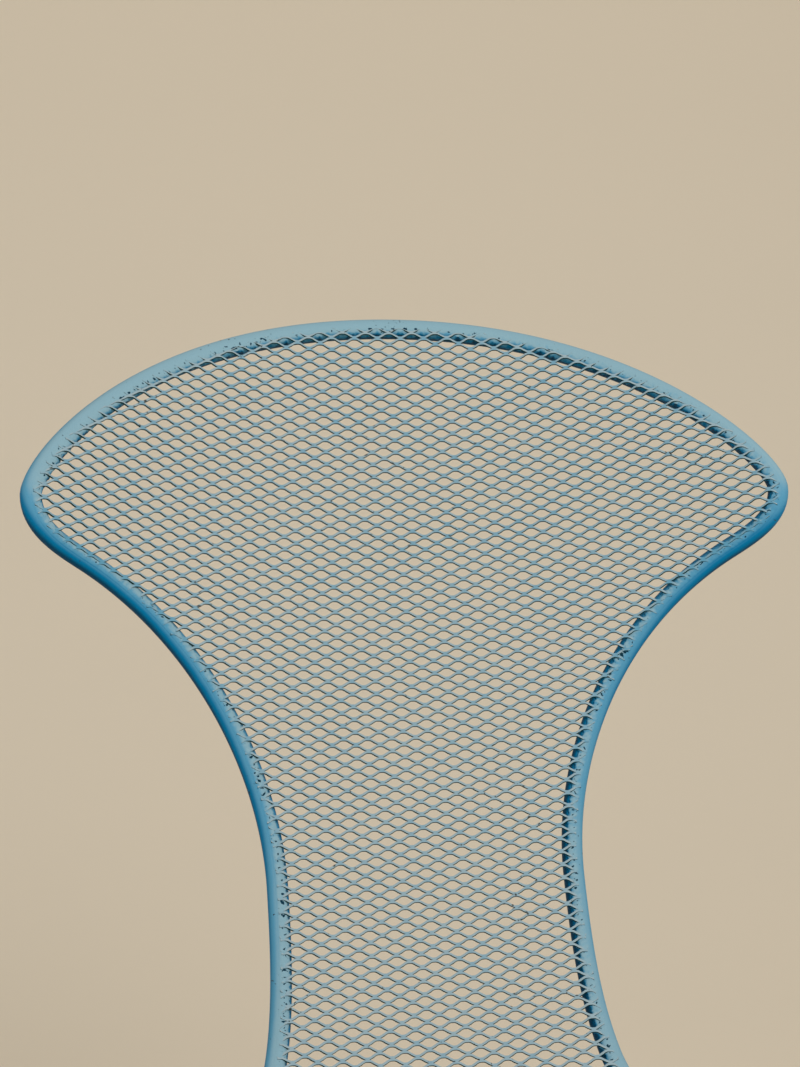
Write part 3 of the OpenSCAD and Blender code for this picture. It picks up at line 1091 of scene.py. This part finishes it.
links.new(both.outputs[0], chip.inputs["Value"])
links.new(f_in.outputs["Chip Level"], chip.inputs["From Min"])
links.new(f_in.outputs["Chip Level"], level_top.inputs[0])
links.new(level_top.outputs[0], chip.inputs["From Max"])
links.new(grain.outputs["Fac"], grain_centred.inputs[0])
links.new(grain_centred.outputs[0], grain_scaled.inputs[0])
links.new(f_in.outputs["Mottle"], grain_scaled.inputs[1])
links.new(grain_scaled.outputs[0], mottled.inputs["Value"])
links.new(f_in.outputs["Color"], mottled.inputs["Color"])
links.new(chip.outputs[0], chipped.inputs["Factor"])
links.new(mottled.outputs["Color"], chipped.inputs[MIX_A])
links.new(f_in.outputs["Chip Color"], chipped.inputs[MIX_B])
links.new(chip.outputs[0], height.inputs[0])
links.new(grain.outputs["Fac"], height.inputs[2])
links.new(chipped.outputs[MIXED], f_out.inputs["Color"])
links.new(height.outputs[0], f_out.inputs["Height"])
print("flaw nodes:", len(flaws.nodes))

# %% Paint materials
FRESH_ROUGH = 0.42
PAINT_SPECULAR = 0.05


def paint_material(name, chalk_and_light, chipping, chalk_rough, bump):
    """Chalk with painted light and painted shade, then chips, then a skin of fine bumps, on
    one shader.
    """
    material = bpy.data.materials.new(name)
    material.use_nodes = True
    tree = material.node_tree
    shader = tree.nodes["Principled BSDF"]
    # Chalk with painted light above and painted shade below.
    sky = add(tree, "ShaderNodeGroup", chalk_and_light, node_tree=chalk_and_light_group)
    worn = add(tree, "ShaderNodeGroup", chipping, node_tree=flaws)
    rough = add(tree, "ShaderNodeMapRange", {"To Min": FRESH_ROUGH, "To Max": chalk_rough})
    skin = add(tree, "ShaderNodeBump", {"Strength": 0.6, "Distance": bump})
    tree.links.new(sky.outputs["Color"], worn.inputs["Color"])
    tree.links.new(worn.outputs["Color"], shader.inputs["Base Color"])
    tree.links.new(sky.outputs["Chalk"], rough.inputs["Value"])
    tree.links.new(rough.outputs[0], shader.inputs["Roughness"])
    tree.links.new(worn.outputs["Height"], skin.inputs["Height"])
    tree.links.new(skin.outputs["Normal"], shader.inputs["Normal"])
    shader.inputs["Specular IOR Level"].default_value = PAINT_SPECULAR
    return material, sky, worn


def steer(material, socket, attribute, amount, base=0.0):
    """Let an attribute of the piece move a socket away from its base value."""
    tree = material.node_tree
    marked = add(tree, "ShaderNodeAttribute", attribute_name=attribute)
    moved = add(tree, "ShaderNodeMath", {1: amount, 2: base}, operation="MULTIPLY_ADD")
    tree.links.new(marked.outputs["Fac"], moved.inputs[0])
    tree.links.new(moved.outputs[0], socket)


# On the sheet, the colour on faces that look down is painted shade under the strands, and
# the palest is chalk with painted light.
mesh_paint, mesh_chalk_and_light, _ = paint_material(
    "mesh_paint",
    {
        "Deep": srgb(0, 54, 54), "Deep Level": -0.25,
        "Fresh": srgb(16, 84, 94), "Fresh Level": 0.05,
        "Worn": srgb(90, 146, 170), "Worn Level": 0.4,
        "Chalked": srgb(152, 171, 176), "Chalked Level": 0.85,
        "Patch Size": 34, "Patch Strength": 0.35,
    },
    {"Chip Color": srgb(70, 74, 70), "Chip Size": 320, "Chip Level": 0.95, "Mottle": 0.16},
    chalk_rough=0.6, bump=0.2 * MM,
)
# Strands paler towards their middles than at the bonds: painted sheen.
steer(mesh_paint, mesh_chalk_and_light.inputs["Lift"], "painted_strand_sheen", 0.16)

# On the tubes and the bead, the colour on faces that look down is painted shade, the pale
# top is chalk with painted light, and the sky way leans towards the key light.
TUBE_CHALK_AND_LIGHT = {
    "Deep": srgb(0, 70, 104), "Deep Level": -0.5,
    "Fresh": srgb(0, 116, 164), "Fresh Level": 0.02,
    "Worn": srgb(84, 149, 180), "Worn Level": 0.54,
    "Chalked": srgb(134, 169, 181), "Chalked Level": 1.0,
    "Patch Size": 26, "Patch Strength": 0.26, "Sky And Light Way": (0.22, -0.33, 1.03),
}
tube_paint, tube_chalk_and_light, _ = paint_material(
    "tube_paint",
    TUBE_CHALK_AND_LIGHT,
    {"Chip Color": srgb(52, 60, 64), "Chip Size": 300, "Chip Level": 0.975, "Mottle": 0.1},
    chalk_rough=0.6, bump=0.25 * MM,
)
# On the bead the chips gather in the hollows beside the strand ends; their dark teal is
# painted shade.
bead_paint, bead_chalk_and_light, bead_pit_shade = paint_material(
    "bead_paint",
    TUBE_CHALK_AND_LIGHT,
    {"Chip Color": srgb(6, 52, 70), "Chip Size": 330, "Mottle": 0.14},
    chalk_rough=0.62, bump=0.5 * MM,
)
# The lift attribute brings painted shade to the crevice and a paler face to the bead.
steer(tube_paint, tube_chalk_and_light.inputs["Lift"], "lift", 1.0)
steer(bead_paint, bead_chalk_and_light.inputs["Lift"], "lift", 1.0)
steer(bead_paint, bead_pit_shade.inputs["Chip Level"], "pit_shade", -0.29, 1.0)
print("paints:", mesh_paint.name, tube_paint.name, bead_paint.name)

# %% Glide rubber
glide_rubber = bpy.data.materials.new("glide_rubber")
glide_rubber.use_nodes = True
rubber_tree = glide_rubber.node_tree
rubber = rubber_tree.nodes["Principled BSDF"]
scuffed = add(
    rubber_tree,
    "ShaderNodeGroup",
    {
        "Color": srgb(46, 46, 45), "Chip Color": srgb(104, 100, 92),
        "Chip Size": 420, "Chip Level": 0.8, "Mottle": 0.3,
    },
    node_tree=flaws,
)
rubber_skin = add(rubber_tree, "ShaderNodeBump", {"Strength": 0.5, "Distance": 0.2 * MM})
rubber_tree.links.new(scuffed.outputs["Color"], rubber.inputs["Base Color"])
rubber_tree.links.new(scuffed.outputs["Height"], rubber_skin.inputs["Height"])
rubber_tree.links.new(rubber_skin.outputs["Normal"], rubber.inputs["Normal"])
rubber.inputs["Roughness"].default_value = 0.75

# %% Hang every piece on the frame
for part in sheet_parts:
    part.data.materials.clear()
    part.data.materials.append(mesh_paint)
    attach(part, "root")
    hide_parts("mesh_sheet")
for piece, node, slot in (
    (rim_tube, "rim_tube", "rim_paint"),
    (leg_frames[0], "left_leg_frame", "frame_paint"),
    (leg_frames[1], "right_leg_frame", "frame_paint"),
    *((cap, node, "glide") for cap, node in glides),
):
    piece.data.materials.clear()
    piece.data.materials.append(glide_rubber if slot == "glide" else tube_paint)
    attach(piece, "root")
    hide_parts(node)
for piece, slot in ((paint_bead, "rim_paint"), (weld_beads, "frame_paint")):
    piece.data.materials.clear()
    piece.data.materials.append(bead_paint)
    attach(piece, "root")
for name, node in frame["nodes"].items():
    finish = glide_rubber if "glide" in name else tube_paint
    for slot_place in node.material_slots:
        slot_place.material = finish

# %% Floor and backdrop
# One sheet runs along the floor, up a wide curve and up the wall, so that no
# line shows where they meet.
SWEEP_HALF = 7
SWEEP_RUN = 16
SWEEP_START = 0.9
SWEEP_R = 1.8
select_none()
bpy.ops.mesh.primitive_grid_add(x_subdivisions=2, y_subdivisions=40, size=1)
sweep = bpy.context.object
sweep.name = "floor_sweep"
grid = vertex_places(sweep.data)
run = (grid[:, 1] + 0.5) * SWEEP_RUN - SWEEP_RUN / 2
bend = np.clip((run - SWEEP_START) / SWEEP_R, 0, math.pi / 2)
past = np.maximum(run - SWEEP_START - SWEEP_R * math.pi / 2, 0)
sweep_y = np.minimum(run, SWEEP_START) + SWEEP_R * np.sin(bend)
sweep_z = SWEEP_R * (1 - np.cos(bend)) + past
place_vertices(sweep.data, np.stack([2 * SWEEP_HALF * grid[:, 0], sweep_y, sweep_z], axis=1))
bpy.ops.object.shade_smooth()
pale = bpy.data.materials.new("pale_floor")
pale.use_nodes = True
pale_shader = pale.node_tree.nodes["Principled BSDF"]
pale_shader.inputs["Base Color"].default_value = srgb(226, 213, 191)
pale_shader.inputs["Roughness"].default_value = 0.9
sweep.data.materials.append(pale)

# %% Light


def soft_light(name, place, target, size, power):
    bpy.ops.object.light_add(type="AREA", location=place)
    lamp = bpy.context.object
    lamp.name = name
    lamp.data.size = size
    lamp.data.energy = power
    way = np.array(target) - np.array(place)
    lamp.rotation_euler = Vector(way).to_track_quat("-Z", "Y").to_euler()


soft_light("key_light", (1.3, -2.2, 3.0), (0, 0, 0.7), 1.6, 70)
soft_light("fill_light", (-2.4, -1.8, 1.6), (0, 0, 0.6), 2.0, 20)
world = bpy.data.worlds.new("studio")
bpy.context.scene.world = world
world.use_nodes = True
background = world.node_tree.nodes["Background"]
background.inputs["Color"].default_value = (1, 1, 1, 1)
background.inputs["Strength"].default_value = 0.45
bpy.context.scene.view_settings.view_transform = "Standard"
